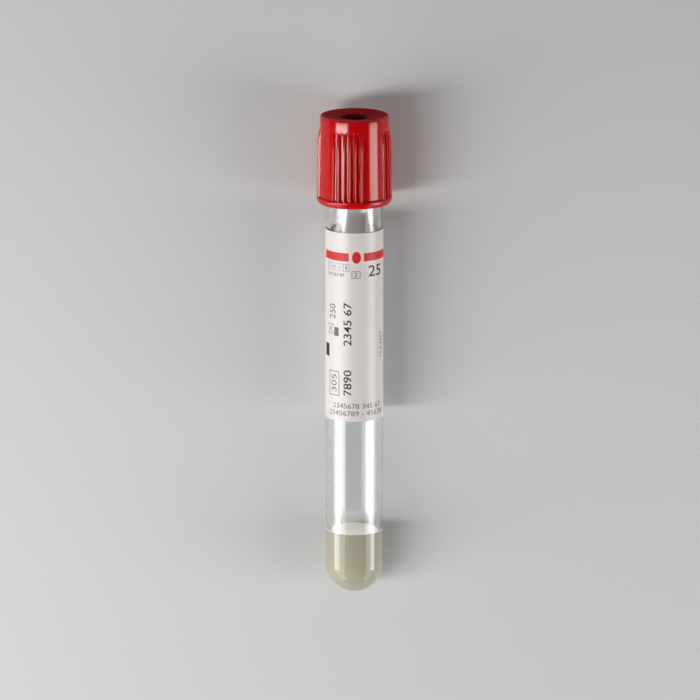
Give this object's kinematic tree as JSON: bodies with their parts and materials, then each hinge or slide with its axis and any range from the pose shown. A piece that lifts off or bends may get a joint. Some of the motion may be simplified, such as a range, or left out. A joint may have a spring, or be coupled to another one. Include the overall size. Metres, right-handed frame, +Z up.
{
  "type": "blood collection tube",
  "caption": "Capped evacuated tube for drawing blood: clear round-ended barrel with separator gel and a wrapped label, rubber stopper and ribbed red cap that pull off along the axis.",
  "frame": {"origin": "centre of the bottom of the box round the tube as it lies on a table, on its round end and the ring of its cap", "axes": "+Y along the tube, from the round end to the cap, +Z up, with the printed side of the label facing up"},
  "size_m": [0.0172, 0.1112, 0.0173],
  "materials": {
    "clear_plastic": "gloss",
    "label_paper": "matte",
    "gel": "satin",
    "dark_rubber": "matte",
    "red_plastic": "gloss"
  },
  "bodies": {
    "tube_body": {"tube": "clear_plastic", "label": "label_paper", "separator_gel": "gel"},
    "closure": {"stopper": "dark_rubber", "cap": "red_plastic"}
  },
  "joints": [
    {"name": "closure_pull", "type": "slide", "parent": "tube_body", "child": "closure", "axis": [0, 0.9997, 0.0243], "range_m": [0, 0.025]}
  ]
}
